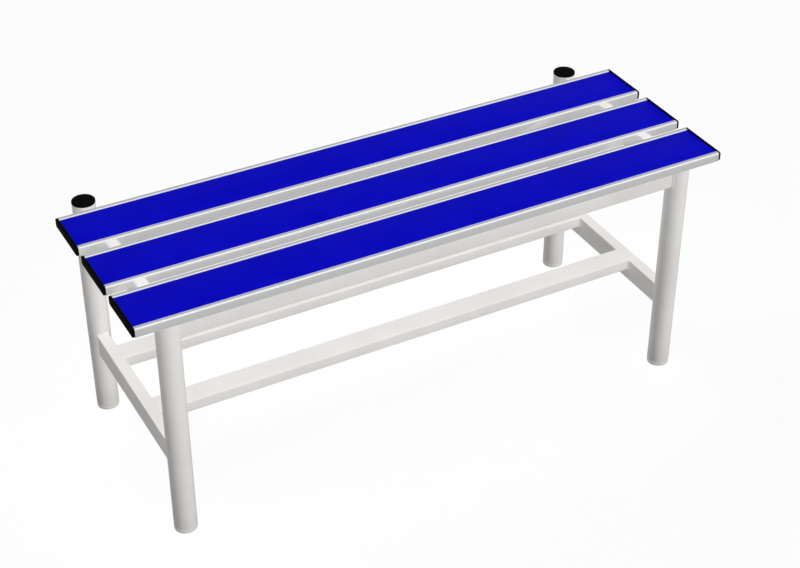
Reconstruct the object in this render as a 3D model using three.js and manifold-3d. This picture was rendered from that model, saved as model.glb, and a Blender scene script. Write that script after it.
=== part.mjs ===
// Changing-room bench: three slats on a welded frame of round legs and box-tube rails.
// Millimetres. +X along the bench, +Y to the rear, +Z up. The origin is on the floor,
// under the middle of the bench's overall box.

import * as THREE from 'three';
import { mergeVertices } from 'three/addons/utils/BufferGeometryUtils.js';
import Module from 'manifold-3d';

const wasm = await Module();
wasm.setup();

// ---------------------------------------------------------------- driving dimensions

// Seat
const benchLength = 1040;        // over the slat end caps
const seatHeight = 432;          // floor to the top of the slat lips
const slatWidth = 97.5;          // front to rear
const slatGap = 20.5;            // clear space between slats
const seatOverhang = 30;         // front leg axis to the seat's front edge
const rearLegSetback = 48.5;     // seat's rear edge to the rear leg axis
const legInset = 62.5;           // end of the bench to the leg axis

// Round legs
const legDiameter = 38;
const legWall = 2;

// Box tube, used for every rail
const boxNarrow = 20;
const boxWide = 40;
const boxWall = 2;
const boxCorner = 2.5;           // outside corner radius

// Lower frame
const stretcherTop = 161;        // floor to the top of the side stretchers
const centreRailOffset = 118.5;  // front leg axis to the centre rail's middle
const rearRailOffset = 76;       // rear leg axis to the rear rail's middle

// Slat extrusion
const lipWidth = 8.25;           // aluminium seen on each side of the panel
const lipRadius = 3;             // outer top corners
const footRadius = 1;            // outer bottom corners
const lipOverhang = 1.5;         // lip that holds the panel down
const panelRecess = 2;           // lip top to panel top
const panelThickness = 3;
const webThickness = 1.5;        // walls inside the extrusion
const sideWall = 2;              // outer walls of the extrusion
const slotFloor = 1.8;           // metal on each side of a slot's mouth
const slotOffset = 24;           // slat centre line to the slot's centre line

// Slat fixings, M6
const boltDiameter = 6;
const boltHeadAcross = 10;
const boltHeadHeight = 4;
const boltTip = 1;               // bolt showing past the nut
const nutAcross = 10;
const nutThickness = 5;
const slotHeadroom = 2.4;        // slot height beyond the nut's thickness
const washerDiameter = 12;
const washerThickness = 1.2;

// Mouldings
const capFlange = 3.7;           // slat end cap, outside the extrusion
const capCorner = 4;
const capBevel = 0.8;
const capTongue = 18;            // length of the tongues inside the extrusion
const legCapRim = 3;             // rear leg cap, above the tube
const legCapLip = 0.4;           // rim standing out past the tube
const footHeight = 6;            // foot below the tube
const plugDepth = 14;            // skirt inside the tube
const plugWall = 2.2;
const softEdge = 1.2;            // rounded edge of a foot or a cap

// Clearances
const jointGap = 0.3;            // between pieces that are welded or that rest on each other
const plugFit = 0.3;             // skirt to the inside of the tube, each side
const panelFit = 0.3;            // panel to its groove, each side
const tongueFit = 0.3;           // tongue to its chamber, each side
const nutFit = 0.3;              // nut above the slot's floor
const slotSideFit = 0.5;         // nut to each side of its slot, and bolt to the slot's mouth
const boltFit = 0.3;             // bolt to the holes that it passes through

// Facets
const roundSegments = 32;
const smallSegments = 16;
const cornerSegments = 2;        // half the number of facets in a quarter-round corner

// ---------------------------------------------------------------- derived sizes

const slotDepth = nutThickness + slotHeadroom;
const panelStack = panelFit + panelThickness + panelRecess;
const slatHeight = slotFloor + slotDepth + webThickness + panelStack;
const frameTop = seatHeight - slatHeight - jointGap;

const slatPitch = slatWidth + slatGap;
const seatDepth = 3 * slatWidth + 2 * slatGap;
const legSpread = seatDepth - seatOverhang + rearLegSetback;
const legRadius = legDiameter / 2;
const legBore = legRadius - legWall;
const legCapRadius = legRadius + legCapLip;

// The overall box runs from the seat's front edge to the back of the rear legs or their caps.
const overallDepth = seatOverhang + legSpread + legCapRadius;
const seatFront = -overallDepth / 2;
const legX = benchLength / 2 - legInset;
const frontLegY = seatFront + seatOverhang;
const rearLegY = frontLegY + legSpread;

const slatLength = benchLength - 2 * (capFlange + jointGap);
const windowWidth = slatWidth - 2 * lipWidth;
const grooveHalf = windowWidth / 2 + lipOverhang + panelFit;
const chamberTop = slotFloor + slotDepth;
const grooveFloor = chamberTop + webThickness;
const grooveTop = grooveFloor + panelThickness + 2 * panelFit;
const slotHalf = nutAcross / 2 + slotSideFit;
const slotMouthHalf = boltDiameter / 2 + slotSideFit;
const innerChamberHalf = slotOffset - slotHalf - webThickness;
const outerChamberStart = slotOffset + slotHalf + webThickness;
const outerChamberEnd = slatWidth / 2 - sideWall;

const sides = [['left', -1], ['right', 1]];
const slats = [['front', 0], ['middle', 1], ['rear', 2]];

// ---------------------------------------------------------------- materials

function finish(color, roughness, metalness) {
  return () => new THREE.MeshStandardMaterial({ color, roughness, metalness });
}
const framePaint = finish(0xdcd8d4, 0.45, 0.1);
const aluminium = finish(0xbfc0c0, 0.35, 0.9);
const bluePanel = finish(0x1010b4, 0.4, 0.0);
const blackPlastic = finish(0x0c0c0d, 0.5, 0.0);
const palePlastic = finish(0xcfcdc9, 0.6, 0.0);
const zincSteel = finish(0xb7babd, 0.4, 0.9);

// ---------------------------------------------------------------- geometry helpers

function toSolid(geometry) {
  const bare = geometry.clone();
  bare.deleteAttribute('normal');
  bare.deleteAttribute('uv');
  const merged = mergeVertices(bare, 1e-4);
  const vertProperties = new Float32Array(merged.attributes.position.array);
  const triVerts = new Uint32Array(merged.index.array);
  return new wasm.Manifold(new wasm.Mesh({ numProp: 3, vertProperties, triVerts }));
}

function toGeometry(solid) {
  const mesh = solid.getMesh();
  const geometry = new THREE.BufferGeometry();
  geometry.setAttribute('position', new THREE.BufferAttribute(mesh.vertProperties, 3));
  geometry.setIndex(new THREE.BufferAttribute(mesh.triVerts, 1));
  geometry.computeVertexNormals();
  return geometry;
}

function cut(geometry, tools) {
  const result = tools.reduce((solid, tool) => solid.subtract(toSolid(tool)), toSolid(geometry));
  return toGeometry(result);
}

function join(geometries) {
  const [first, ...others] = geometries.map(toSolid);
  return toGeometry(others.reduce((solid, other) => solid.add(other), first));
}

function extrude(shape, length, curveSegments = cornerSegments) {
  const options = { depth: length, bevelEnabled: false, curveSegments };
  return new THREE.ExtrudeGeometry(shape, options).translate(0, 0, -length / 2);
}

// A section drawn as (x, y) becomes (Y, Z) when it runs along X, and (X, Z) when along Y.
function alongX(geometry) {
  return geometry.rotateX(Math.PI / 2).rotateZ(Math.PI / 2);
}

function alongY(geometry) {
  return geometry.rotateX(Math.PI / 2);
}

function roundedOutline(path, width, height, radius) {
  const x = width / 2 - radius;
  const y = height / 2 - radius;
  const quarter = Math.PI / 2;
  path.absarc(x, -y, radius, -quarter, 0);
  path.absarc(x, y, radius, 0, quarter);
  path.absarc(-x, y, radius, quarter, 2 * quarter);
  path.absarc(-x, -y, radius, 2 * quarter, 3 * quarter);
  path.closePath();
  return path;
}

function polygonHole(points) {
  const hole = new THREE.Path();
  hole.setFromPoints(points.map(([x, y]) => new THREE.Vector2(x, y)));
  hole.closePath();
  return hole;
}

function boxTube(width, height, length) {
  const shape = roundedOutline(new THREE.Shape(), width, height, boxCorner);
  const bore = [width - 2 * boxWall, height - 2 * boxWall, Math.max(boxCorner - boxWall, 0.3)];
  shape.holes.push(roundedOutline(new THREE.Path(), ...bore));
  return extrude(shape, length);
}

function disc(radius, height, segments = roundSegments) {
  const shape = new THREE.Shape();
  shape.absarc(0, 0, radius, 0, 2 * Math.PI);
  return extrude(shape, height, segments / 2);
}

function ring(outerRadius, innerRadius, height, segments = roundSegments) {
  const shape = new THREE.Shape();
  shape.absarc(0, 0, outerRadius, 0, 2 * Math.PI);
  const bore = new THREE.Path();
  bore.absarc(0, 0, innerRadius, 0, 2 * Math.PI, true);
  shape.holes.push(bore);
  return extrude(shape, height, segments / 2);
}

// Turned shapes are drawn as [radius, height] points that go up the outside.
function turned(points) {
  const outline = points.map(([radius, height]) => new THREE.Vector2(radius, height));
  return new THREE.LatheGeometry(outline, roundSegments).rotateX(Math.PI / 2);
}

function quarterRound(radius, height, size, fromAngle) {
  return [0, 1, 2].map((step) => {
    const angle = fromAngle + step * (Math.PI / 4);
    return [radius + size * Math.cos(angle), height + size * Math.sin(angle)];
  });
}

const bench = new THREE.Group();

function add(name, geometry, material, x = 0, y = 0, z = 0) {
  const mesh = new THREE.Mesh(geometry, material());
  mesh.name = name;
  mesh.position.set(x, y, z);
  bench.add(mesh);
  return mesh;
}

// ---------------------------------------------------------------- legs and their mouldings

const corners = [
  ['front_left', -legX, frontLegY], ['front_right', legX, frontLegY],
  ['rear_left', -legX, rearLegY], ['rear_right', legX, rearLegY],
];
const legBottom = footHeight + jointGap;

function addLeg([name, x, y]) {
  const height = frameTop - legBottom;
  add(`leg_${name}`, ring(legRadius, legBore, height), framePaint, x, y, legBottom + height / 2);
}

function footPlug() {
  const skirt = legBore - plugFit;
  const top = footHeight + plugDepth;
  return turned([
    [0, 0],
    ...quarterRound(legRadius - softEdge, softEdge, softEdge, -Math.PI / 2),
    [legRadius, footHeight],
    [skirt, footHeight],
    [skirt, top],
    [skirt - plugWall, top],
    [skirt - plugWall, footHeight - plugWall],
    [0, footHeight - plugWall],
  ]);
}

// Height 0 is the top of the tube.
function rearLegCap() {
  const skirt = legBore - plugFit;
  const rimBottom = jointGap;
  const rimTop = rimBottom + legCapRim;
  return turned([
    [0, rimBottom],
    [skirt - plugWall, rimBottom],
    [skirt - plugWall, -plugDepth],
    [skirt, -plugDepth],
    [skirt, rimBottom],
    [legCapRadius, rimBottom],
    ...quarterRound(legCapRadius - softEdge, rimTop - softEdge, softEdge, 0),
    [0, rimTop],
  ]);
}

function frontLegPlug() {
  const skirt = legBore - plugFit;
  return turned([
    [0, -legCapRim],
    [skirt - plugWall, -legCapRim],
    [skirt - plugWall, -plugDepth],
    [skirt, -plugDepth],
    ...quarterRound(skirt - softEdge, -jointGap - softEdge, softEdge, 0),
    [0, -jointGap],
  ]);
}

for (const corner of corners) {
  const [name, x, y] = corner;
  addLeg(corner);
  add(`foot_plug_${name}`, footPlug(), palePlastic, x, y, 0);
}
for (const [side, sign] of sides) {
  add(`leg_cap_rear_${side}`, rearLegCap(), blackPlastic, sign * legX, rearLegY, frameTop);
  add(`leg_plug_front_${side}`, frontLegPlug(), blackPlastic, sign * legX, frontLegY, frameTop);
}

// ---------------------------------------------------------------- rails

// The ends of a rail between two legs are hollowed to the legs' round.
function legCutter(height, x, y) {
  return disc(legRadius + jointGap, height).translate(x, y, 0);
}

// A slat's bolts go through the slot behind its centre line, clear of the legs.
function boltY(index) {
  return seatFront + index * slatPitch + slatWidth / 2 + slotOffset;
}

const legMidY = (frontLegY + rearLegY) / 2;
const cutterHeight = boxWide + 2;

function sideRail(height) {
  const tube = alongY(boxTube(boxNarrow, height, legSpread));
  return cut(tube, [-1, 1].map((end) => legCutter(cutterHeight, 0, end * legSpread / 2)));
}

function crossRail() {
  const holeRadius = boltDiameter / 2 + boltFit;
  const holes = slats.map(([, index]) => {
    return disc(holeRadius, cutterHeight, smallSegments).translate(0, boltY(index) - legMidY, 0);
  });
  return cut(sideRail(boxWide), holes);
}

function frontApron() {
  const tube = alongX(boxTube(boxNarrow, boxWide, 2 * legX));
  return cut(tube, [-1, 1].map((end) => legCutter(cutterHeight, end * legX, 0)));
}

const railZ = frameTop - boxWide / 2;
for (const [side, sign] of sides) {
  add(`cross_rail_${side}`, crossRail(), framePaint, sign * legX, legMidY, railZ);
  const stretcherZ = stretcherTop - boxWide / 2;
  add(`side_stretcher_${side}`, sideRail(boxWide), framePaint, sign * legX, legMidY, stretcherZ);
}
add('front_apron', frontApron(), framePaint, 0, frontLegY, railZ);

// The two long lower rails lie flat between the side stretchers, with their tops level.
const lowerRailLength = 2 * (legX - boxNarrow / 2 - jointGap);
const lowerRailZ = stretcherTop - boxNarrow / 2;
const lowerRails = [
  ['centre_rail', frontLegY + centreRailOffset],
  ['rear_rail', rearLegY - rearRailOffset],
];
for (const [name, y] of lowerRails) {
  const tube = alongX(boxTube(boxWide, boxNarrow, lowerRailLength));
  add(name, tube, framePaint, 0, y, lowerRailZ);
}

// ---------------------------------------------------------------- slats

// Section of the extrusion: x from the centre line, y up from the underside.
function slatOutline() {
  const half = slatWidth / 2;
  const quarter = Math.PI / 2;
  const top = slatHeight;
  const shape = new THREE.Shape();
  shape.moveTo(-half + footRadius, 0);
  for (const centre of [-slotOffset, slotOffset]) {
    shape.lineTo(centre - slotMouthHalf, 0);
    shape.lineTo(centre - slotMouthHalf, slotFloor);
    shape.lineTo(centre - slotHalf, slotFloor);
    shape.lineTo(centre - slotHalf, chamberTop);
    shape.lineTo(centre + slotHalf, chamberTop);
    shape.lineTo(centre + slotHalf, slotFloor);
    shape.lineTo(centre + slotMouthHalf, slotFloor);
    shape.lineTo(centre + slotMouthHalf, 0);
  }
  shape.absarc(half - footRadius, footRadius, footRadius, -quarter, 0);
  shape.absarc(half - lipRadius, top - lipRadius, lipRadius, 0, quarter);
  shape.lineTo(windowWidth / 2, top);
  shape.lineTo(windowWidth / 2, grooveTop);
  shape.lineTo(grooveHalf, grooveTop);
  shape.lineTo(grooveHalf, grooveFloor);
  shape.lineTo(-grooveHalf, grooveFloor);
  shape.lineTo(-grooveHalf, grooveTop);
  shape.lineTo(-windowWidth / 2, grooveTop);
  shape.lineTo(-windowWidth / 2, top);
  shape.absarc(-half + lipRadius, top - lipRadius, lipRadius, quarter, 2 * quarter);
  shape.absarc(-half + footRadius, footRadius, footRadius, 2 * quarter, 3 * quarter);
  return shape;
}

// The outer chamber rises beside the groove, inside the lip.
function outerChamber(sign) {
  const lipChamberStart = grooveHalf + webThickness;
  const lipChamberTop = slatHeight - sideWall;
  const points = [
    [outerChamberStart, webThickness],
    [outerChamberEnd, webThickness],
    [outerChamberEnd, lipChamberTop],
    [lipChamberStart, lipChamberTop],
    [lipChamberStart, chamberTop],
    [outerChamberStart, chamberTop],
  ];
  return polygonHole(points.map(([x, y]) => [sign * x, y]));
}

function slatExtrusion() {
  const shape = slatOutline();
  shape.holes.push(polygonHole([
    [-innerChamberHalf, webThickness], [innerChamberHalf, webThickness],
    [innerChamberHalf, chamberTop], [-innerChamberHalf, chamberTop],
  ]));
  shape.holes.push(outerChamber(-1), outerChamber(1));
  return alongX(extrude(shape, slatLength));
}

function slatPanel() {
  return new THREE.BoxGeometry(slatLength, 2 * (grooveHalf - panelFit), panelThickness);
}

// End cap with its flange outwards along +X; x = 0 is the flange's inner face.
function tongue(centreY, width) {
  const height = chamberTop - webThickness - 2 * tongueFit;
  const length = capTongue + capFlange / 2;
  const block = new THREE.BoxGeometry(length, width - 2 * tongueFit, height);
  return block.translate(capFlange / 2 - length / 2, centreY, (webThickness + chamberTop) / 2);
}

function slatEndCap() {
  const outline = roundedOutline(new THREE.Shape(), slatWidth, slatHeight, capCorner);
  const options = {
    depth: capFlange - capBevel,
    bevelThickness: capBevel,
    bevelSize: capBevel,
    bevelOffset: -capBevel,
    bevelSegments: 2,
    curveSegments: 2 * cornerSegments,
  };
  const flange = alongX(new THREE.ExtrudeGeometry(outline, options));
  flange.translate(0, 0, slatHeight / 2);
  const trim = new THREE.BoxGeometry(2 * capBevel, 2 * slatWidth, 4 * slatHeight);
  const flatFlange = cut(flange, [trim.translate(-capBevel, 0, 0)]);
  const outerWidth = outerChamberEnd - outerChamberStart;
  const outerCentre = (outerChamberStart + outerChamberEnd) / 2;
  return join([
    flatFlange,
    tongue(0, 2 * innerChamberHalf),
    tongue(outerCentre, outerWidth),
    tongue(-outerCentre, outerWidth),
  ]);
}

const slatBottom = seatHeight - slatHeight;
const panelZ = slatBottom + grooveFloor + panelFit + panelThickness / 2;

for (const [place, index] of slats) {
  const y = seatFront + index * slatPitch + slatWidth / 2;
  add(`slat_extrusion_${place}`, slatExtrusion(), aluminium, 0, y, slatBottom);
  add(`slat_panel_${place}`, slatPanel(), bluePanel, 0, y, panelZ);
  for (const [side, sign] of sides) {
    const x = sign * (benchLength / 2 - capFlange);
    const cap = add(`slat_end_cap_${place}_${side}`, slatEndCap(), blackPlastic, x, y, slatBottom);
    cap.rotation.z = sign > 0 ? 0 : Math.PI;
  }
}

// ---------------------------------------------------------------- slat fixings

// Height 0 is the underside of the cross rail.
const washerTop = -jointGap;
const headTop = washerTop - washerThickness - jointGap;
const nutBottom = boxWide + jointGap + slotFloor + nutFit;

function slatBolt() {
  const shankTop = nutBottom + nutThickness + boltTip;
  const overlap = boltHeadHeight / 2;
  const shankLength = shankTop - headTop + overlap;
  const shank = disc(boltDiameter / 2, shankLength, smallSegments);
  shank.translate(0, 0, shankTop - shankLength / 2);
  const headRadius = boltHeadAcross / Math.sqrt(3);
  const head = disc(headRadius, boltHeadHeight, 6).translate(0, 0, headTop - boltHeadHeight / 2);
  return join([head, shank]);
}

function slatWasher() {
  const washer = ring(washerDiameter / 2, boltDiameter / 2 + boltFit, washerThickness, smallSegments);
  return washer.translate(0, 0, washerTop - washerThickness / 2);
}

function slatNut() {
  const block = new THREE.BoxGeometry(nutAcross, nutAcross, nutThickness);
  const hole = disc(boltDiameter / 2 + boltFit, nutThickness + 2, smallSegments);
  return cut(block, [hole]).translate(0, 0, nutBottom + nutThickness / 2);
}

for (const [place, index] of slats) {
  for (const [side, sign] of sides) {
    const position = [sign * legX, boltY(index), frameTop - boxWide];
    add(`slat_bolt_${place}_${side}`, slatBolt(), zincSteel, ...position);
    add(`slat_washer_${place}_${side}`, slatWasher(), zincSteel, ...position);
    add(`slat_nut_${place}_${side}`, slatNut(), zincSteel, ...position);
  }
}

export default bench;
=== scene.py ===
# %% [markdown]
# # A changing-room bench in Blender
#
# Three aluminium slats with blue boards let into them, on a welded frame of round legs and
# box-tube rails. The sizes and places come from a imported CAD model, which loads first and stays
# as it is. Each CAD solid is plain and faceted, so each gets a finer piece that stands for it:
# round tube that is round, rolled corners on the box tube, weld beads, softened mouldings, and a
# finish made of shader nodes. Everything is in metres: X runs along the bench, Y to the rear.

# %% Load the frame
import math
from contextlib import contextmanager

import bmesh
import bpy
from mathutils import Matrix, Vector


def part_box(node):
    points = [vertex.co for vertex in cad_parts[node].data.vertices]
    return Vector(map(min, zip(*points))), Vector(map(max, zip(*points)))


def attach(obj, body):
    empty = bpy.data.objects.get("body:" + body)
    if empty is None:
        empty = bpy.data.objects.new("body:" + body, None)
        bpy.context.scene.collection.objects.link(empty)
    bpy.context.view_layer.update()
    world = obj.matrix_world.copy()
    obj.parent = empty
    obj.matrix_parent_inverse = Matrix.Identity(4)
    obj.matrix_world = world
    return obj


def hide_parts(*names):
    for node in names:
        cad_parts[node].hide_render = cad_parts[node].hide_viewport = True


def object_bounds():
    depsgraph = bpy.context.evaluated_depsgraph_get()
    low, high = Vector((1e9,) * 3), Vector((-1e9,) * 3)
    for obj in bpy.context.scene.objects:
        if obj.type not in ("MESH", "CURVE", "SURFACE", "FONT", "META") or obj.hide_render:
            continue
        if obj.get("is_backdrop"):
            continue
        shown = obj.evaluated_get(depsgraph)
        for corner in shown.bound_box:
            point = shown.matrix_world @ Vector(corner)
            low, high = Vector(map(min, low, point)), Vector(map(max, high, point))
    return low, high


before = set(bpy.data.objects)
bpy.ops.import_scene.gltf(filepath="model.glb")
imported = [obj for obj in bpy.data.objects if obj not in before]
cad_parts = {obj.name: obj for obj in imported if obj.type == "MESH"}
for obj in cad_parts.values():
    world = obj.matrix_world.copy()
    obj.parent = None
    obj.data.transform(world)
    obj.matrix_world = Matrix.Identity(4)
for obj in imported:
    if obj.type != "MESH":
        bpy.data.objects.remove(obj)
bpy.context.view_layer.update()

# %% [markdown]
# ## Where the viewer stands
#
# The bench is looked down on from above its front left corner, from nearly three metres away
# with a long lens, so its long edges hardly draw together. The camera is given by what it looks
# at, how far off it is and two angles, which is how a photographer would describe it. Blender's
# camera looks down its own -Z, so tilting it up by 90 degrees less the elevation and then turning
# it by the azimuth aims it.

# %% Camera
mm = 0.001
camera_target = Vector((-0.0270, -0.0922, 0.2801))
camera_distance = 2.83
camera_azimuth = math.radians(-28.274)
camera_elevation = math.radians(35.253)
lens_length = 77.94              # in mm, as on the lens
sensor_width = 36

back = Vector((math.sin(camera_azimuth) * math.cos(camera_elevation),
               -math.cos(camera_azimuth) * math.cos(camera_elevation),
               math.sin(camera_elevation)))
bpy.ops.object.camera_add(location=camera_target + camera_distance * back)
camera = bpy.context.object
camera.name = "camera"
camera.rotation_euler = (math.pi / 2 - camera_elevation, 0, camera_azimuth)
camera.data.sensor_width = sensor_width
camera.data.lens = lens_length
bpy.context.scene.camera = camera
print("camera at", [round(v, 3) for v in camera.location])

# %% [markdown]
# ## Helpers for working as in edit mode
#
# By hand, a piece starts from a primitive, and faces or edges are picked with the mouse before
# each operator. Here they are picked by a test on their direction or place. A primitive comes
# with its place on its object, so that place is moved into the mesh straight away: every finished
# piece then sits at the origin, and patterns that read object coordinates stay put.

# %% Picking and editing
def deselect():
    for item in bpy.context.selected_objects:
        item.select_set(False)


def settle(name):
    """Names the primitive just added and moves its place into its mesh."""
    piece = bpy.context.object
    piece.name = piece.data.name = name
    bpy.ops.object.transform_apply(location=True, rotation=True, scale=True)
    return piece


def activate(piece):
    deselect()
    piece.select_set(True)
    bpy.context.view_layer.objects.active = piece


@contextmanager
def editing(piece):
    activate(piece)
    bpy.ops.object.mode_set(mode="EDIT")
    yield
    bpy.ops.object.mode_set(mode="OBJECT")


def pick(kind, test):
    """Selects the faces, edges or verts that pass a test, and nothing else."""
    modes = {"faces": "FACE", "edges": "EDGE", "verts": "VERT"}
    bpy.ops.mesh.select_mode(type=modes[kind])
    bpy.ops.mesh.select_all(action="DESELECT")
    mesh = bmesh.from_edit_mesh(bpy.context.object.data)
    mesh.normal_update()
    chosen = [item for item in getattr(mesh, kind) if test(item)]
    for item in chosen:
        item.select_set(True)
    bmesh.update_edit_mesh(bpy.context.object.data)
    return len(chosen)


def facing(*direction):
    return lambda face: face.normal.dot(Vector(direction)) > 0.9


def running(*direction):
    """Edges that run along a direction, either way."""
    def test(edge):
        line = edge.verts[1].co - edge.verts[0].co
        return abs(line.normalized().dot(Vector(direction))) > 0.999
    return test


def middle(edge):
    return (edge.verts[0].co + edge.verts[1].co) / 2


X, Y, Z = (1, 0, 0), (0, 1, 0), (0, 0, 1)
print("axes to pick along:", X, Y, Z)

# %% [markdown]
# ## Cutting, copying and handing over
#
# A boolean modifier, applied at once, does what a drill or a saw does. A repeated piece is
# modelled once, then copied with a mesh of its own and moved inside that mesh. Last, a piece is
# handed over: it rides on the bench's only body, and the CAD node that it stands for is hidden.

# %% Cutting and copying
def combine(piece, tool, operation="DIFFERENCE"):
    """Cuts the tool out of the piece, or joins it on, and removes the tool."""
    activate(piece)
    modifier = piece.modifiers.new("shape", "BOOLEAN")
    modifier.operation = operation
    modifier.solver = "EXACT"
    modifier.object = tool
    bpy.ops.object.modifier_apply(modifier=modifier.name)
    bpy.data.objects.remove(tool)


def block(low, high):
    """A box between two corners, used as a cutter or as a start."""
    deselect()
    low, high = Vector(low), Vector(high)
    bpy.ops.mesh.primitive_cube_add(size=1, location=(low + high) / 2, scale=high - low)
    return settle("block")


def rod(radius, low, high, vertices=96):
    """An upright cylinder from the low point to the high one."""
    deselect()
    low, high = Vector(low), Vector(high)
    bpy.ops.mesh.primitive_cylinder_add(
        vertices=vertices, radius=radius, depth=(high - low).z, location=(low + high) / 2)
    return settle("rod")


def copied(piece, name, offset=(0, 0, 0), half_turn_about=None):
    """A copy with its own mesh, moved, or turned half round an upright line."""
    twin = piece.copy()
    twin.data = piece.data.copy()
    twin.name = twin.data.name = name
    bpy.context.scene.collection.objects.link(twin)
    if half_turn_about is not None:
        pivot = Matrix.Translation(Vector(half_turn_about))
        twin.data.transform(pivot @ Matrix.Rotation(math.pi, 4, "Z") @ pivot.inverted())
    twin.data.transform(Matrix.Translation(Vector(offset)))
    return twin


def smooth(piece, degrees=35):
    activate(piece)
    bpy.ops.object.shade_smooth_by_angle(angle=math.radians(degrees))


def hand_over(piece, finish, slot, *nodes):
    """Gives a finished piece its material and its body, and hides the CAD nodes that it stands for.
    Its slot is not used.
    """
    piece.data.materials.clear()
    piece.data.materials.append(finish)
    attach(piece, "root")
    if nodes:
        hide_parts(*nodes)


def centre_of(node):
    low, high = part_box(node)
    return (low + high) / 2


sides = {"left": -1, "right": 1}
corners = [f"{row}_{side}" for row in ("front", "rear") for side in sides]
places = ["front", "middle", "rear"]
print("legs stand at", corners, "and slats lie at", places)

# %% [markdown]
# ## Colours and shader nodes
#
# Colours are written as they look on a screen, as sRGB hex, and one function turns them into the
# linear values that a shader works in. One more function adds a node, with its settings and what
# feeds it, so that each finish below reads as a list of what it is made of.

# %% Colour and node helpers
def linear(hex_colour):
    """sRGB hex to linear RGBA."""
    parts = [int(hex_colour[i:i + 2], 16) / 255 for i in (1, 3, 5)]
    return [p / 12.92 if p <= 0.04045 else ((p + 0.055) / 1.055) ** 2.4 for p in parts] + [1.0]


def add_node(tree, kind, inputs=(), **settings):
    """Adds a shader node. An input is a value, or the socket that feeds it."""
    made = tree.nodes.new("ShaderNode" + kind)
    for name, value in settings.items():
        setattr(made, name, value)
    for name, value in dict(inputs).items():
        if isinstance(value, bpy.types.NodeSocket):
            tree.links.new(value, made.inputs[name])
        else:
            made.inputs[name].default_value = value
    return made


def new_finish(name):
    """An empty material: its node tree, its shader and the piece's own coordinates."""
    material = bpy.data.materials.new(name)
    material.use_nodes = True
    tree = material.node_tree
    tree.nodes.clear()
    shader = add_node(tree, "BsdfPrincipled")
    add_node(tree, "OutputMaterial", {"Surface": shader.outputs["BSDF"]})
    where = add_node(tree, "TexCoord").outputs["Object"]
    return material, tree, shader, where


def per_metre(size_in_mm):
    """The scale of a pattern whose features are this far apart."""
    return 1000 / size_in_mm


print("mid grey in linear light:", round(linear("#808080")[0], 3))

# %% [markdown]
# ## Powder coat on steel tube
#
# The frame is welded mild steel under a polyester powder coat, sprayed on dry and baked until it
# flows. It leaves an even off-white skin, satin rather than glossy, and its shine is weak even at
# the edge of a round leg. Where the powder didn't quite level there is a faint orange peel. On the
# real coat that is one or two millimetres across; it is drawn at three so that it still shows from
# across a room. Close to the floor the coat picks up a little grey dust, and a slow cloud of tone
# keeps a long rail from looking like a flat fill.

# %% Powder coat
def powder_coat():
    material, tree, shader, where = new_finish("powder_coated_steel_off_white")
    cloud = add_node(tree, "TexNoise", {"Vector": where, "Scale": per_metre(70), "Detail": 2.0})
    tone = add_node(tree, "ValToRGB", {"Fac": cloud.outputs["Fac"]})
    tone.color_ramp.elements[0].color = linear("#D4D1CE")
    tone.color_ramp.elements[0].position = 0.3
    tone.color_ramp.elements[1].color = linear("#DAD8D5")
    tone.color_ramp.elements[1].position = 0.7

    height = add_node(tree, "SeparateXYZ", {"Vector": where}).outputs["Z"]
    low_down = add_node(tree, "MapRange", {
        "Value": height, "From Min": 45 * mm, "From Max": 0.0, "To Min": 0.0, "To Max": 0.35})
    specks = add_node(tree, "TexNoise", {"Vector": where, "Scale": per_metre(6), "Detail": 4.0})
    dust = add_node(tree, "Math", {0: low_down.outputs["Result"], 1: specks.outputs["Fac"]},
                    operation="MULTIPLY")
    colour = add_node(tree, "Mix", {
        "Factor": dust.outputs[0], 6: tone.outputs["Color"], 7: linear("#A9A39B")},
        data_type="RGBA")

    peel = add_node(tree, "TexNoise", {"Vector": where, "Scale": per_metre(3), "Detail": 1.0})
    gloss = add_node(tree, "MapRange", {
        "Value": cloud.outputs["Fac"], "From Min": 0.3, "From Max": 0.7,
        "To Min": 0.42, "To Max": 0.5})
    bump = add_node(tree, "Bump", {
        "Height": peel.outputs["Fac"], "Strength": 0.25, "Distance": 0.12 * mm})
    tree.links.new(colour.outputs[2], shader.inputs["Base Color"])
    tree.links.new(gloss.outputs["Result"], shader.inputs["Roughness"])
    tree.links.new(bump.outputs["Normal"], shader.inputs["Normal"])
    shader.inputs["Specular IOR Level"].default_value = 0.12
    return material


frame_paint = powder_coat()
print("made", frame_paint.name)

# %% [markdown]
# ## Anodised aluminium
#
# The slats are extruded: hot metal pushed through a steel die, which draws fine lines along the
# whole length, and then anodised in its own silver. So the finish is metal, fairly smooth, and all
# its marks run along X. Noise that is squeezed across the slat and stretched along it gives those
# die lines. They are a tenth of a millimetre apart on the real thing; here the broad ones are about
# a millimetre, which is the finest that shows. The anodic layer scatters part of the light before
# it reaches the metal, so the slat mirrors its neighbours faintly and never goes black. That is
# why the shader is a little under two thirds metal and diffuse for the rest.

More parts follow.
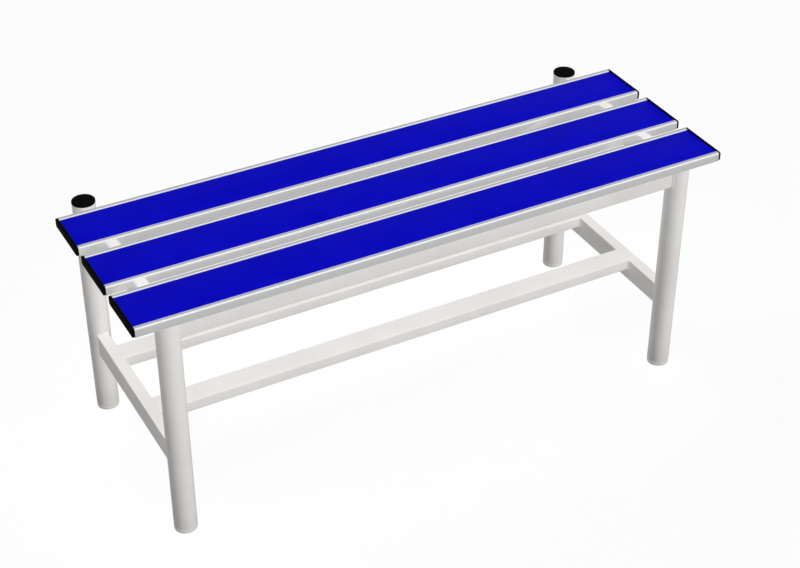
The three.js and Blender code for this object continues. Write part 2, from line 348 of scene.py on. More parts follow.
# %% Anodised aluminium
def anodised_aluminium():
    material, tree, shader, where = new_finish("anodised_aluminium_silver")
    drawn_out = add_node(tree, "Mapping", {
        "Vector": where, "Scale": (0.004, 1.0, 1.0)})
    lines = add_node(tree, "TexNoise", {
        "Vector": drawn_out.outputs["Vector"], "Scale": per_metre(1.2), "Detail": 3.0})
    bands = add_node(tree, "TexNoise", {
        "Vector": drawn_out.outputs["Vector"], "Scale": per_metre(9), "Detail": 1.0})
    tone = add_node(tree, "ValToRGB", {"Fac": bands.outputs["Fac"]})
    tone.color_ramp.elements[0].color = linear("#F4F4F5")
    tone.color_ramp.elements[0].position = 0.35
    tone.color_ramp.elements[1].color = linear("#FAFAFB")
    tone.color_ramp.elements[1].position = 0.65
    gloss = add_node(tree, "MapRange", {
        "Value": lines.outputs["Fac"], "From Min": 0.3, "From Max": 0.7,
        "To Min": 0.08, "To Max": 0.14})
    bump = add_node(tree, "Bump", {
        "Height": lines.outputs["Fac"], "Strength": 0.08, "Distance": 0.02 * mm})
    tree.links.new(tone.outputs["Color"], shader.inputs["Base Color"])
    tree.links.new(gloss.outputs["Result"], shader.inputs["Roughness"])
    tree.links.new(bump.outputs["Normal"], shader.inputs["Normal"])
    shader.inputs["Metallic"].default_value = 0.63
    return material


slat_aluminium = anodised_aluminium()
print("made", slat_aluminium.name)

# %% [markdown]
# ## Royal-blue compact laminate
#
# The boards are resin-bonded paper pressed hot against a textured plate. The colour goes deep and
# the surface is matt, with a fine pebble that hides finger marks. It reflects very little, so the
# blue stays strong even when it is looked at from low down: the specular level is well under that
# of a glossy plastic. The pebble is 0.6 mm on the real sheet and drawn at 2 mm to show.

# %% Blue laminate
def blue_laminate():
    material, tree, shader, where = new_finish("compact_laminate_royal_blue")
    cloud = add_node(tree, "TexNoise", {"Vector": where, "Scale": per_metre(60), "Detail": 3.0})
    tone = add_node(tree, "ValToRGB", {"Fac": cloud.outputs["Fac"]})
    tone.color_ramp.elements[0].color = linear("#0707A7")
    tone.color_ramp.elements[0].position = 0.3
    tone.color_ramp.elements[1].color = linear("#0B0BAF")
    tone.color_ramp.elements[1].position = 0.7
    pebble = add_node(tree, "TexVoronoi", {"Vector": where, "Scale": per_metre(2)},
                      feature="SMOOTH_F1")
    gloss = add_node(tree, "MapRange", {
        "Value": cloud.outputs["Fac"], "From Min": 0.3, "From Max": 0.7,
        "To Min": 0.5, "To Max": 0.62})
    bump = add_node(tree, "Bump", {
        "Height": pebble.outputs["Distance"], "Strength": 0.15, "Distance": 0.1 * mm})
    tree.links.new(tone.outputs["Color"], shader.inputs["Base Color"])
    tree.links.new(gloss.outputs["Result"], shader.inputs["Roughness"])
    tree.links.new(bump.outputs["Normal"], shader.inputs["Normal"])
    shader.inputs["Specular IOR Level"].default_value = 0.02
    return material


blue_panel = blue_laminate()
print("made", blue_panel.name)

# %% [markdown]
# ## The mouldings and the bolts
#
# The end caps and the leg caps are injection-moulded polypropylene, black all through, with the
# fine grain that a spark-eroded mould leaves. The feet are the same plastic in a pale grey. One
# function makes both, because only the colour differs. The fixings are steel with a thin coat of
# bright zinc: a metal that is a little bluish, in patches a few millimetres across.

# %% Moulded plastic and zinc
def moulded_plastic(name, dark, light, rough, shine):
    material, tree, shader, where = new_finish(name)
    cloud = add_node(tree, "TexNoise", {"Vector": where, "Scale": per_metre(12), "Detail": 2.0})
    tone = add_node(tree, "ValToRGB", {"Fac": cloud.outputs["Fac"]})
    tone.color_ramp.elements[0].color = linear(dark)
    tone.color_ramp.elements[1].color = linear(light)
    grain = add_node(tree, "TexNoise", {"Vector": where, "Scale": per_metre(0.8), "Detail": 2.0})
    gloss = add_node(tree, "MapRange", {
        "Value": grain.outputs["Fac"], "To Min": rough - 0.06, "To Max": rough + 0.06})
    bump = add_node(tree, "Bump", {
        "Height": grain.outputs["Fac"], "Strength": 0.3, "Distance": 0.05 * mm})
    tree.links.new(tone.outputs["Color"], shader.inputs["Base Color"])
    tree.links.new(gloss.outputs["Result"], shader.inputs["Roughness"])
    tree.links.new(bump.outputs["Normal"], shader.inputs["Normal"])
    shader.inputs["Specular IOR Level"].default_value = shine
    return material


def zinc_plate():
    material, tree, shader, where = new_finish("bright_zinc_plated_steel")
    patches = add_node(tree, "TexVoronoi", {"Vector": where, "Scale": per_metre(3)})
    tone = add_node(tree, "ValToRGB", {"Fac": patches.outputs["Distance"]})
    tone.color_ramp.elements[0].color = linear("#BFC3C8")
    tone.color_ramp.elements[1].color = linear("#A9AFB6")
    gloss = add_node(tree, "MapRange", {
        "Value": patches.outputs["Distance"], "To Min": 0.25, "To Max": 0.42})
    tree.links.new(tone.outputs["Color"], shader.inputs["Base Color"])
    tree.links.new(gloss.outputs["Result"], shader.inputs["Roughness"])
    shader.inputs["Metallic"].default_value = 1.0
    return material


black_plastic = moulded_plastic("moulded_polypropylene_black", "#060607", "#0B0B0C", 0.6, 0.012)
pale_plastic = moulded_plastic("moulded_polypropylene_pale_grey", "#CBC8C4", "#D3D1CD", 0.55, 0.25)
zinc_steel = zinc_plate()
print("made", black_plastic.name, pale_plastic.name, zinc_steel.name)

# %% [markdown]
# ## Round legs
#
# Each leg is a length of round steel tube, 38 mm across with a 2 mm wall. It starts as a cylinder
# with enough sides to look round at its edge. Insetting both ends by the wall and bridging the two
# inner faces opens the bore, and a small bevel takes the saw's sharpness off both rims.

# %% Legs
leg_wall = 2 * mm
saw_edge = 0.5 * mm
leg_low, leg_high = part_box("leg_front_left")
leg_radius = (leg_high.x - leg_low.x) / 2
leg_bore = leg_radius - leg_wall


def is_rim(radius, centre):
    """Edges that lie on a circle about an upright axis."""
    def test(edge):
        ends = [(v.co.xy - centre.xy).length for v in edge.verts]
        level = abs(edge.verts[0].co.z - edge.verts[1].co.z) < 0.01 * mm
        return level and all(abs(end - radius) < 0.05 * mm for end in ends)
    return test


def bored(piece, wall):
    """Opens a tube right through: both ends are inset by the wall, then bridged."""
    with editing(piece):
        pick("faces", lambda face: abs(face.normal.z) > 0.9 and len(face.verts) > 4)
        bpy.ops.mesh.inset(thickness=wall)
        bpy.ops.mesh.bridge_edge_loops()
        bpy.ops.mesh.select_all(action="SELECT")
        bpy.ops.mesh.normals_make_consistent(inside=False)


axis = centre_of("leg_front_left")
leg = rod(leg_radius, (axis.x, axis.y, leg_low.z), (axis.x, axis.y, leg_high.z))
bored(leg, leg_wall)
with editing(leg):
    pick("edges", is_rim(leg_radius, axis))
    bpy.ops.mesh.bevel(offset=saw_edge, segments=3, affect="EDGES")
smooth(leg)

legs = {}
for corner in corners:
    shift = centre_of(f"leg_{corner}") - axis
    legs[corner] = copied(leg, f"{corner}_leg", shift)
    hand_over(legs[corner], frame_paint, "frame_paint", f"leg_{corner}")
bpy.data.objects.remove(leg)
print("legs:", len(legs), "faces each:", len(legs["front_left"].data.polygons))

# %% [markdown]
# ## Box-tube rails
#
# Every rail is 40 x 20 mm box tube, rolled from strip, so its corners are round. A cube of the
# rail's size gets its four long edges bevelled, its ends inset by the wall, and the inner faces
# bridged into a bore. Where a rail meets a leg its end is hollowed to fit the leg's round, which
# a welder calls coping: a cylinder a hair bigger than the leg is cut away from it.

# %% Box tube
box_wall = 2 * mm
box_corner = 1.8 * mm
cope_gap = 0.1 * mm


def box_tube(low, high, run):
    tube = block(low, high)
    with editing(tube):
        pick("edges", running(*run))
        bpy.ops.mesh.bevel(offset=box_corner, segments=6, affect="EDGES")
        pick("faces", lambda face: abs(face.normal.dot(Vector(run))) > 0.9)
        bpy.ops.mesh.inset(thickness=box_wall)
        bpy.ops.mesh.bridge_edge_loops()
        bpy.ops.mesh.select_all(action="SELECT")
        bpy.ops.mesh.normals_make_consistent(inside=False)
    return tube


def cope(tube, *leg_nodes):
    for node in leg_nodes:
        low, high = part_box(node)
        place = (low + high) / 2
        combine(tube, rod(leg_radius + cope_gap, (place.x, place.y, low.z - mm),
                          (place.x, place.y, high.z + mm)))


print("box tube wall and corner in mm:", round(box_wall / mm, 1), round(box_corner / mm, 1))

# %% Side rails, from front leg to rear leg
bolt_hole = 3.3 * mm


def side_rail(node, side):
    """A rail between the two legs of one side; its box ends at the leg axes."""
    low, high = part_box(node)
    front, rear = centre_of(f"leg_front_{side}"), centre_of(f"leg_rear_{side}")
    tube = box_tube((low.x, front.y, low.z), (high.x, rear.y, high.z), Y)
    cope(tube, f"leg_front_{side}", f"leg_rear_{side}")
    return tube


rails = {}
for side in sides:
    for kind in ("cross_rail", "side_stretcher"):
        node = f"{kind}_{side}"
        rails[node] = side_rail(node, side)
        rails[node].name = rails[node].data.name = f"{side}_{kind}"
    cross_rail = rails[f"cross_rail_{side}"]
    low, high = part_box(f"cross_rail_{side}")
    for place in places:
        spot = centre_of(f"slat_washer_{place}_{side}")
        combine(cross_rail, rod(bolt_hole, (spot.x, spot.y, low.z - mm),
                                (spot.x, spot.y, high.z + mm), 32))
print("side rails:", {name: len(rail.data.polygons) for name, rail in rails.items()})

# %% [markdown]
# The front apron runs along X between the front legs, high up under the front slat. The two
# lower rails lie flat between the side stretchers and butt against them, so they aren't coped.

# %% Long rails
low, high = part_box("front_apron")
left, right = centre_of("leg_front_left"), centre_of("leg_front_right")
apron = box_tube((left.x, low.y, low.z), (right.x, high.y, high.z), X)
cope(apron, "leg_front_left", "leg_front_right")
apron.name = apron.data.name = "front_apron_rail"
rails["front_apron"] = apron
for node in ("centre_rail", "rear_rail"):
    rails[node] = box_tube(*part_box(node), X)
    rails[node].name = rails[node].data.name = f"lower_{node}"

for node, rail in rails.items():
    smooth(rail)
    hand_over(rail, frame_paint, "frame_paint", node)
print("rails:", len(rails))

# %% [markdown]
# ## Weld beads
#
# A weld is a row of overlapping puddles, so its bead is a tube with a ripple. Each bead follows
# the outline of the box tube where it meets its neighbour. It starts as a circle of points, and
# each point is moved on to that outline; the edge loop becomes a curve, the curve gets a round
# section whose radius rises and falls, and it is made a mesh again. Under the slats the top of
# the joint is ground flush, so there the bead stops short on both sides.

# %% Points round a box tube's outline
bead_radius = 1.7 * mm
bead_pitch = 2.4 * mm            # from one ripple to the next
bead_steps = 4                   # points for each ripple


def outline_length(width, height, corner):
    return 2 * (width + height) - 8 * corner + 2 * math.pi * corner


def on_outline(distance, width, height, corner):
    """The point that far round a rounded rectangle, from the middle of its top."""
    flat, upright, arc = width - 2 * corner, height - 2 * corner, math.pi / 2 * corner
    heading, place = 0.0, Vector((0.0, height / 2))
    for stretch, turns in ((flat / 2, 0), (arc, 1), (upright, 0), (arc, 1), (flat, 0), (arc, 1),
                           (upright, 0), (arc, 1), (flat / 2, 0)):
        done = min(distance, stretch)
        distance -= done
        if turns:
            angle = done / corner
            ahead = Vector((math.cos(heading), -math.sin(heading)))
            inward = Vector((-math.sin(heading), -math.cos(heading)))
            place = place + corner * (math.sin(angle) * ahead + (1 - math.cos(angle)) * inward)
            heading += angle
        else:
            place = place + done * Vector((math.cos(heading), -math.sin(heading)))
        if distance <= 0:
            break
    return place


print("way round a 40 x 20 tube in mm:", round(outline_length(40, 20, box_corner / mm), 1))

# %% One bead
def weld_bead(seat, across, width, height, onto, open_top):
    """A bead round the end of a box tube. onto(side) is how far along the joint lies."""
    length = outline_length(width, height, box_corner)
    ripples = round(length / bead_pitch)
    deselect()
    bpy.ops.mesh.primitive_circle_add(vertices=ripples * bead_steps, radius=width)
    bead = settle("weld")
    for vertex in bead.data.vertices:
        share = vertex.index / len(bead.data.vertices)
        side, rise = on_outline(share * length, width, height, box_corner)
        vertex.co = seat + Vector(across) * side + Vector(Z) * rise + onto(side)
    if open_top:
        ground = seat.z + height / 2 - bead_radius
        with editing(bead):
            pick("verts", lambda vertex: vertex.co.z > ground)
            bpy.ops.mesh.delete(type="VERT")
    activate(bead)
    bpy.ops.object.convert(target="CURVE")
    bead.data.bevel_depth = bead_radius
    bead.data.bevel_resolution = 3
    bead.data.use_fill_caps = True
    for spline in bead.data.splines:
        for step, point in enumerate(spline.points):
            point.radius = 1 + 0.1 * math.cos(2 * math.pi * step / bead_steps)
    bpy.ops.object.convert(target="MESH")
    return bead


def round_face(toward):
    """How far from a leg's axis its surface lies, along a direction."""
    return lambda side: Vector(toward) * math.sqrt(leg_radius**2 - min(abs(side), leg_radius)**2)


def flat_face(side):
    return Vector((0, 0, 0))


print("a leg's face beside its axis, in mm:", [round(v / mm, 1) for v in round_face(Y)(0.01)])

# %% Beads on every joint
def joined(pieces, name):
    activate(pieces[0])
    for piece in pieces[1:]:
        piece.select_set(True)
    bpy.ops.object.join()
    bpy.context.object.name = bpy.context.object.data.name = name
    return bpy.context.object


welds = []
for side in sides:
    for kind, open_top in (("cross_rail", True), ("side_stretcher", False)):
        low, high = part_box(f"{kind}_{side}")
        beads = []
        for row, toward in (("front", 1), ("rear", -1)):
            seat = centre_of(f"leg_{row}_{side}")
            seat.z = (low.z + high.z) / 2
            beads.append(weld_bead(seat, X, high.x - low.x, high.z - low.z,
                                   round_face((0, toward, 0)), open_top))
        welds.append(joined(beads, f"{side}_{kind}_welds"))

low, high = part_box("front_apron")
beads = []
for side, sign in sides.items():
    seat = centre_of(f"leg_front_{side}")
    seat.z = (low.z + high.z) / 2
    beads.append(weld_bead(seat, Y, high.y - low.y, high.z - low.z,
                           round_face((-sign, 0, 0)), True))
welds.append(joined(beads, "front_apron_welds"))
print("weld pieces round the legs:", [weld.name for weld in welds])

# %% [markdown]
# The tops of the lower rails are level with the tops of the side stretchers. A welder fills the
# groove between the two with metal and grinds it level, so the two tops read as one surface. The
# filling is a small block that reaches from one flat to the other, a hair proud of both, with its
# upper edges softened.

# %% Beads and ground fillings of the lower rails
ground_proud = 0.03 * mm
fill_depth = 3.5 * mm
fill_reach = 1.5 * mm            # into the lower rail, past the face that it meets
fill_edge = 0.5 * mm


def ground_filling(face, outward, low, high):
    """Fills the groove over a T joint between two flat tops."""
    ends = sorted([face - outward * fill_reach, face + outward * (box_corner + mm)])
    filling = block((ends[0], low.y + box_corner * 0.6, high.z - fill_depth),
                    (ends[1], high.y - box_corner * 0.6, high.z + ground_proud))
    with editing(filling):
        pick("faces", facing(*Z))
        bpy.ops.mesh.region_to_loop()
        bpy.ops.mesh.bevel(offset=fill_edge, segments=3, affect="EDGES")
    return filling


for node in ("centre_rail", "rear_rail"):
    low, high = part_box(node)
    beads = []
    for face, outward in ((low.x, -1), (high.x, 1)):
        seat = Vector((face, (low.y + high.y) / 2, (low.z + high.z) / 2))
        beads.append(weld_bead(seat, Y, high.y - low.y, high.z - low.z, flat_face, True))
        beads.append(ground_filling(face, outward, low, high))
    welds.append(joined(beads, f"lower_{node}_welds"))

for weld in welds:
    smooth(weld, 60)
    hand_over(weld, frame_paint, "frame_paint")
print("welds:", len(welds), "faces:", sum(len(weld.data.polygons) for weld in welds))

# %% [markdown]
# ## Slat extrusions
#
# A slat is one aluminium extrusion, the same all along its length: rounded top corners, a shallow
# bed for the board with a lip over each edge of it, two T-slots underneath for the nuts, and
# hollow chambers that save metal. A cube gets its long edges rounded, then straight cutters that
# run past both ends take out the bed, the slots and the chambers, as the die's tongues do. Cuts
# that share a plane can leave pairs of points a hair apart, so those are merged, and the lips'
# inner edges are rounded last, because that edge draws a bright line along each board.

# %% Extrusion
slat_low, slat_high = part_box("slat_extrusion_front")
slat_mid = (slat_low + slat_high) / 2
panel_low, panel_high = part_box("slat_panel_front")
nut_low, nut_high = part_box("slat_nut_front_left")
lip_width = 8.25 * mm
lip_radius = 3 * mm
lip_inner_radius = 1.9 * mm
foot_radius = 1 * mm
web = 1.5 * mm
side_wall = 2 * mm
slot_floor = 1.8 * mm
slot_side_play = 0.5 * mm
play = 0.3 * mm
board_drop = 0.4 * mm            # how far the board lies below the CAD one
overlap = 0.1 * mm               # so that two cuts meet
doubled = 0.001 * mm             # points closer than this are one
slot_offset = (nut_low.y + nut_high.y) / 2 - slat_mid.y
slot_half = (nut_high.y - nut_low.y) / 2 + slot_side_play
mouth_half = 3.5 * mm
half_width = (slat_high.y - slat_low.y) / 2
window_half = half_width - lip_width
groove_half = (panel_high.y - panel_low.y) / 2 + play
groove_floor = panel_low.z - play
board_top = panel_high.z - board_drop
groove_top = board_top + play
chamber_top = groove_floor - web


def along_slat(near, far, bottom, top):
    """A cutter right through the slat, between two distances from its centre line."""
    return block((slat_low.x - 5 * mm, slat_mid.y + near, bottom),
                 (slat_high.x + 5 * mm, slat_mid.y + far, top))


slat = block(slat_low, slat_high)
with editing(slat):
    pick("edges", lambda edge: running(*X)(edge) and middle(edge).z > slat_mid.z)
    bpy.ops.mesh.bevel(offset=lip_radius, segments=8, affect="EDGES")
    pick("edges", lambda edge: running(*X)(edge) and middle(edge).z < slat_low.z + mm)
    bpy.ops.mesh.bevel(offset=foot_radius, segments=4, affect="EDGES")

combine(slat, along_slat(-window_half, window_half, board_top, slat_high.z + mm))
combine(slat, along_slat(-groove_half, groove_half, groove_floor, groove_top))
inner = slot_offset - slot_half - web
combine(slat, along_slat(-inner, inner, slat_low.z + web, chamber_top))
for sign in (-1, 1):
    slot = sign * slot_offset
    combine(slat, along_slat(slot - mouth_half, slot + mouth_half,
                             slat_low.z - mm, slat_low.z + slot_floor + overlap))
    combine(slat, along_slat(slot - slot_half, slot + slot_half,
                             slat_low.z + slot_floor, chamber_top))
    outer = sorted([sign * (slot_offset + slot_half + web), sign * (half_width - side_wall)])
    combine(slat, along_slat(*outer, slat_low.z + web, chamber_top))
    in_lip = sorted([sign * (groove_half + web), sign * (half_width - side_wall)])
    combine(slat, along_slat(*in_lip, chamber_top - mm, slat_high.z - side_wall))
print("slat section cut, faces:", len(slat.data.polygons))

# %% The lips' inner edges
with editing(slat):
    bpy.ops.mesh.select_all(action="SELECT")
    bpy.ops.mesh.remove_doubles(threshold=doubled)
    count = pick("edges", lambda edge: running(*X)(edge)
                 and abs(middle(edge).z - slat_high.z) < 0.01 * mm
                 and abs(abs(middle(edge).y - slat_mid.y) - window_half) < 0.01 * mm)
    bpy.ops.mesh.bevel(offset=lip_inner_radius, segments=8, affect="EDGES")
smooth(slat, 30)

slats = {}
for place in places:
    shift = centre_of(f"slat_extrusion_{place}") - slat_mid
    slats[place] = copied(slat, f"{place}_slat", shift)
    hand_over(slats[place], slat_aluminium, "slat_aluminium", f"slat_extrusion_{place}")
bpy.data.objects.remove(slat)
print("slats:", len(slats), "faces each:", len(slats["front"].data.polygons), "lip edges:", count)

# %% [markdown]
# ## Blue boards
#
# Each board is sawn from sheet and slid into its slat from the end, so it is a plain strip with a
# hair of its sharp edge sanded off. Its top is a shade over 2 mm below the lips, so that the
# rear lip shows its whole rounded inner edge.

# %% Boards
board_edge = 0.3 * mm

boards = {}
for place in places:
    low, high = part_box(f"slat_panel_{place}")
    board = block(low, (high.x, high.y, board_top))
    board.name = board.data.name = f"{place}_board"
    with editing(board):
        pick("edges", lambda edge: True)
        bpy.ops.mesh.bevel(offset=board_edge, segments=2, affect="EDGES")
    smooth(board)
    hand_over(board, blue_panel, "blue_panel", f"slat_panel_{place}")
    boards[place] = board
print("boards:", len(boards))

# %% [markdown]
# ## Slat end caps
#
# A cap is a black flange over the cut end of the slat, with three tongues that grip inside its
# chambers. The flange is a thin block whose corners are rounded and whose outer edge is softened;
# each tongue is a block with a lead-in bevel, joined on so that the cap is one moulding.

# %% End cap
cap_node = "slat_end_cap_front_right"
cap_low, cap_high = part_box(cap_node)
flange_start = slat_high.x + play
cap_corner = 4 * mm
cap_edge = 0.8 * mm
lead_in = 1.2 * mm

cap = block((flange_start, cap_low.y, cap_low.z), cap_high)
with editing(cap):
    pick("edges", running(*X))
    bpy.ops.mesh.bevel(offset=cap_corner, segments=10, affect="EDGES")
    pick("faces", facing(*X))
    bpy.ops.mesh.region_to_loop()
    bpy.ops.mesh.bevel(offset=cap_edge, segments=4, affect="EDGES")

tongues = [(0, inner)]
outer_half = (half_width - side_wall - (slot_offset + slot_half + web)) / 2
outer_mid = half_width - side_wall - outer_half
tongues += [(-outer_mid, outer_half), (outer_mid, outer_half)]
for mid, half in tongues:
    tongue = block(
        (cap_low.x, slat_mid.y + mid - half + play, slat_low.z + web + play),
        (flange_start + mm, slat_mid.y + mid + half - play, chamber_top - play))
    with editing(tongue):
        pick("faces", facing(-1, 0, 0))
        bpy.ops.mesh.region_to_loop()
        bpy.ops.mesh.bevel(offset=lead_in, segments=3, affect="EDGES")
    combine(cap, tongue, "UNION")
smooth(cap)

caps = []
for place in places:
    shift = centre_of(f"slat_end_cap_{place}_right") - centre_of(cap_node)
    for side, sign in sides.items():
        turn = (0, slat_mid.y, 0) if sign < 0 else None
        twin = copied(cap, f"{place}_{side}_end_cap", shift, turn)
        hand_over(twin, black_plastic, "black_plastic", f"slat_end_cap_{place}_{side}")
        caps.append(twin)
bpy.data.objects.remove(cap)
print("end caps:", len(caps), "faces each:", len(caps[0].data.polygons))

# %% [markdown]
# ## Caps, plugs and feet of the legs
#
# All of them are turned shapes with a hollow skirt that grips inside the tube. Each starts as a
# short cylinder for the part that shows. One face is inset to the skirt's radius and extruded,
# then inset again by the wall and extruded back, which leaves a cup. The rim that shows is
# bevelled round.

# %% A moulding with a skirt
skirt_radius = leg_bore - play
skirt_wall = 2.2 * mm
skirt_depth = 14 * mm
soft_rim = 1.2 * mm
plug_rim = 3 * mm


def skirted(centre, radius, low_z, high_z, up):
    """A disc with a hollow skirt on its upper face, or on its lower one."""
    piece = rod(radius, (centre.x, centre.y, low_z), (centre.x, centre.y, high_z))
    way = 1 if up else -1
    with editing(piece):
        pick("faces", facing(0, 0, way))
        if radius > skirt_radius + 0.01 * mm:
            bpy.ops.mesh.inset(thickness=radius - skirt_radius)
        bpy.ops.mesh.extrude_region_move(
            TRANSFORM_OT_translate={"value": (0, 0, way * skirt_depth)})
        bpy.ops.mesh.inset(thickness=skirt_wall)
        bpy.ops.mesh.extrude_region_move(
            TRANSFORM_OT_translate={"value": (0, 0, -way * skirt_depth)})
        shown = low_z if up else high_z
        pick("edges", lambda edge: is_rim(radius, centre)(edge)
             and abs(middle(edge).z - shown) < 0.01 * mm)
        bpy.ops.mesh.bevel(offset=soft_rim, segments=5, affect="EDGES")
    smooth(piece)
    return piece


print("skirt in mm, radius and depth:", round(skirt_radius / mm, 2), round(skirt_depth / mm, 1))

# %% Feet
mouldings = []
for corner in corners:
    low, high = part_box(f"foot_plug_{corner}")
    foot = skirted((low + high) / 2, leg_radius, low.z, high.z - skirt_depth, True)
    foot.name = foot.data.name = f"{corner}_foot"
    hand_over(foot, pale_plastic, "pale_plastic", f"foot_plug_{corner}")
    mouldings.append(foot)
print("feet:", len(mouldings))

# %% Caps of the rear legs and plugs of the front legs
for side in sides:
    low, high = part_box(f"leg_cap_rear_{side}")
    radius = (high.x - low.x) / 2
    rim = leg_high.z + play
    leg_cap = skirted((low + high) / 2, radius, rim, high.z, False)
    leg_cap.name = leg_cap.data.name = f"{side}_rear_leg_cap"
    hand_over(leg_cap, black_plastic, "black_plastic", f"leg_cap_rear_{side}")

    low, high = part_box(f"leg_plug_front_{side}")
    plug = skirted((low + high) / 2, skirt_radius, high.z - plug_rim, high.z, False)
    plug.name = plug.data.name = f"{side}_front_leg_plug"
    hand_over(plug, black_plastic, "black_plastic", f"leg_plug_front_{side}")
    mouldings += [leg_cap, plug]
print("mouldings on the legs:", len(mouldings))

# %% [markdown]
# ## Bolts, washers and nuts
#
# Each slat is held by an M6 bolt at each end, from below the cross rail up into a square nut in
# the slat's slot. The bolt is a hexagonal head with its corners knocked off and a shank with a
# chamfered tip; the washer is a pressed ring; the nut is a small block with a hole.

# %% Fixings
bolt_radius = 3 * mm
bolt_head_height = 4 * mm
head_edge = 0.5 * mm
tip_chamfer = 0.6 * mm
washer_edge = 0.25 * mm
nut_edge = 0.4 * mm


def bolt_at(node):
    low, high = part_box(node)
    spot = (low + high) / 2
    head = rod((high.x - low.x) / 2, (spot.x, spot.y, low.z),
               (spot.x, spot.y, low.z + bolt_head_height), 6)
    with editing(head):
        pick("faces", facing(0, 0, -1))
        bpy.ops.mesh.region_to_loop()
        bpy.ops.mesh.bevel(offset=head_edge, segments=2, affect="EDGES")
    shank = rod(bolt_radius, (spot.x, spot.y, low.z + bolt_head_height / 2),
                (spot.x, spot.y, high.z), 32)
    with editing(shank):
        pick("faces", facing(0, 0, 1))
        bpy.ops.mesh.region_to_loop()
        bpy.ops.mesh.bevel(offset=tip_chamfer, segments=1, affect="EDGES")
    combine(head, shank, "UNION")
    return head


def washer_at(node):
    low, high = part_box(node)
    spot = (low + high) / 2
    washer = rod((high.x - low.x) / 2, (spot.x, spot.y, low.z), (spot.x, spot.y, high.z), 48)
    bored(washer, (high.x - low.x) / 2 - bolt_hole)
    with editing(washer):
        pick("edges", is_rim((high.x - low.x) / 2, spot))
        bpy.ops.mesh.bevel(offset=washer_edge, segments=2, affect="EDGES")
    return washer


def nut_at(node):
    low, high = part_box(node)
    spot = (low + high) / 2
    nut = block(low, high)
    with editing(nut):
        pick("edges", lambda edge: True)
        bpy.ops.mesh.bevel(offset=nut_edge, segments=2, affect="EDGES")
    combine(nut, rod(bolt_hole, (spot.x, spot.y, low.z - mm), (spot.x, spot.y, high.z + mm), 32))
    return nut


fixings = []
for kind, make in (("bolt", bolt_at), ("washer", washer_at), ("nut", nut_at)):
    first = f"slat_{kind}_front_left"
    original = make(first)
    smooth(original)
    for place in places:
        for side in sides:
            node = f"slat_{kind}_{place}_{side}"
            twin = copied(original, f"{place}_{side}_{kind}", centre_of(node) - centre_of(first))
            hand_over(twin, zinc_steel, "zinc_steel", node)
            fixings.append(twin)
    bpy.data.objects.remove(original)
print("fixings:", len(fixings))

# %% [markdown]
# ## Floor
#
# The bench stands on a plain pale floor that runs on as far as the eye can see. A white floor
# throws so much light up that everything on it looks flat. A photographer would lay dark cloth
# around the subject, just out of view, to hold that light back. Here the floor is hidden from the
# bounced rays instead, and the world below the horizon gives them a softer grey.

# %% Floor
deselect()
bpy.ops.mesh.primitive_circle_add(vertices=64, radius=40, fill_type="NGON", location=(0, 0, 0))
floor = settle("floor")
floor_material, _, floor_shader, _ = new_finish("pale_matt_floor")
floor_shader.inputs["Base Color"].default_value = linear("#ECECEC")
floor_shader.inputs["Roughness"].default_value = 0.9
floor_shader.inputs["Specular IOR Level"].default_value = 0.0
floor.data.materials.append(floor_material)
floor.visible_diffuse = False
floor.visible_glossy = False
floor.visible_shadow = False
floor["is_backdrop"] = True
print("floor:", [round(v, 1) for v in floor.dimensions.xy], "m across")

# %% [markdown]
# ## Light
#
# A sun with a wide disc acts as a very large soft box a long way off, and lights everything as
# evenly as such a box would. The key comes from the front and a little from the right, so that
# front faces are bright and a round leg falls dark towards its left; a top light lifts the upper
# faces; one behind and to the left keeps the back and that dark side from going dull. These three
# light the matt surfaces only. What the polished aluminium mirrors is set apart: a broad pale
# panel in front and above, seen only in reflections, draws the bright line along each lip.

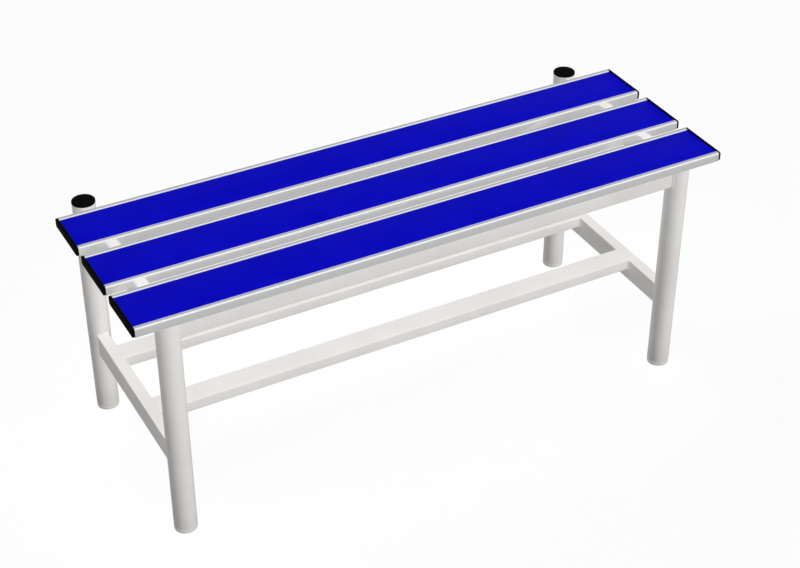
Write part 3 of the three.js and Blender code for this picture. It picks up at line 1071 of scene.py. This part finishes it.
# %% Lights
def soft_sun(name, azimuth, elevation, strength, spread, shadow=False):
    """A wide sun. Azimuth 0 shines from the front, 90 from the right, 180 from the rear."""
    deselect()
    bpy.ops.object.light_add(type="SUN")
    lamp = bpy.context.object
    lamp.name = name
    lamp.rotation_euler = (math.radians(90 - elevation), 0, math.radians(azimuth))
    lamp.data.energy = strength * math.pi
    lamp.data.angle = math.radians(spread)
    lamp.data.use_shadow = shadow
    return lamp


for lamp in (soft_sun("key_light", 19, 35, 0.83, 20),
             soft_sun("top_light", 0, 89, 0.335, 40),
             soft_sun("rear_light", 217, 35, 0.36, 40)):
    lamp.visible_glossy = False
lip_panel = soft_sun("lip_panel", 34, 46, 0.26, 80)
lip_panel.visible_diffuse = False

# %% [markdown]
# ## World
#
# The world is all that the slats and the paint can mirror beyond the bench itself. It has three
# greys: a pale band at eye level, which also carries on from the floor in a low view; a dark grey
# overhead, which keeps the lips from going white; and a softer grey below. The height of a
# direction, from -1 straight down to 1 straight up, picks between them, with a gentle change.

# %% World
world = bpy.data.worlds.new("studio")
bpy.context.scene.world = world
world.use_nodes = True
sky = world.node_tree
sky.nodes.clear()
way = add_node(sky, "TexCoord").outputs["Generated"]
upward = add_node(sky, "SeparateXYZ", {"Vector": way}).outputs["Z"]
over_band = add_node(sky, "MapRange", {"Value": upward, "From Min": 0.1, "From Max": 0.24})
upper = add_node(sky, "Mix", {
    "Factor": over_band.outputs["Result"], 6: linear("#FDFDFD"), 7: linear("#5D5E61")},
    data_type="RGBA")
over_floor = add_node(sky, "MapRange", {"Value": upward, "From Min": -0.08, "From Max": -0.04})
whole = add_node(sky, "Mix", {
    "Factor": over_floor.outputs["Result"], 6: linear("#929292"), 7: upper.outputs[2]},
    data_type="RGBA")
backdrop = add_node(sky, "Background", {"Color": whole.outputs[2], "Strength": 1.0})
add_node(sky, "OutputWorld", {"Surface": backdrop.outputs["Background"]})
bpy.context.scene.view_settings.view_transform = "Standard"
print("world:", world.name, "with", len(sky.nodes), "nodes")

# %% [markdown]
# ## The size of the finished pieces
#
# The finer pieces must fill the same box as the CAD solids that they stand for, so the box that
# the shown pieces fill is printed.

# %% Size and finish
low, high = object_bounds()
print("finished box:", [round(v, 4) for v in high - low])
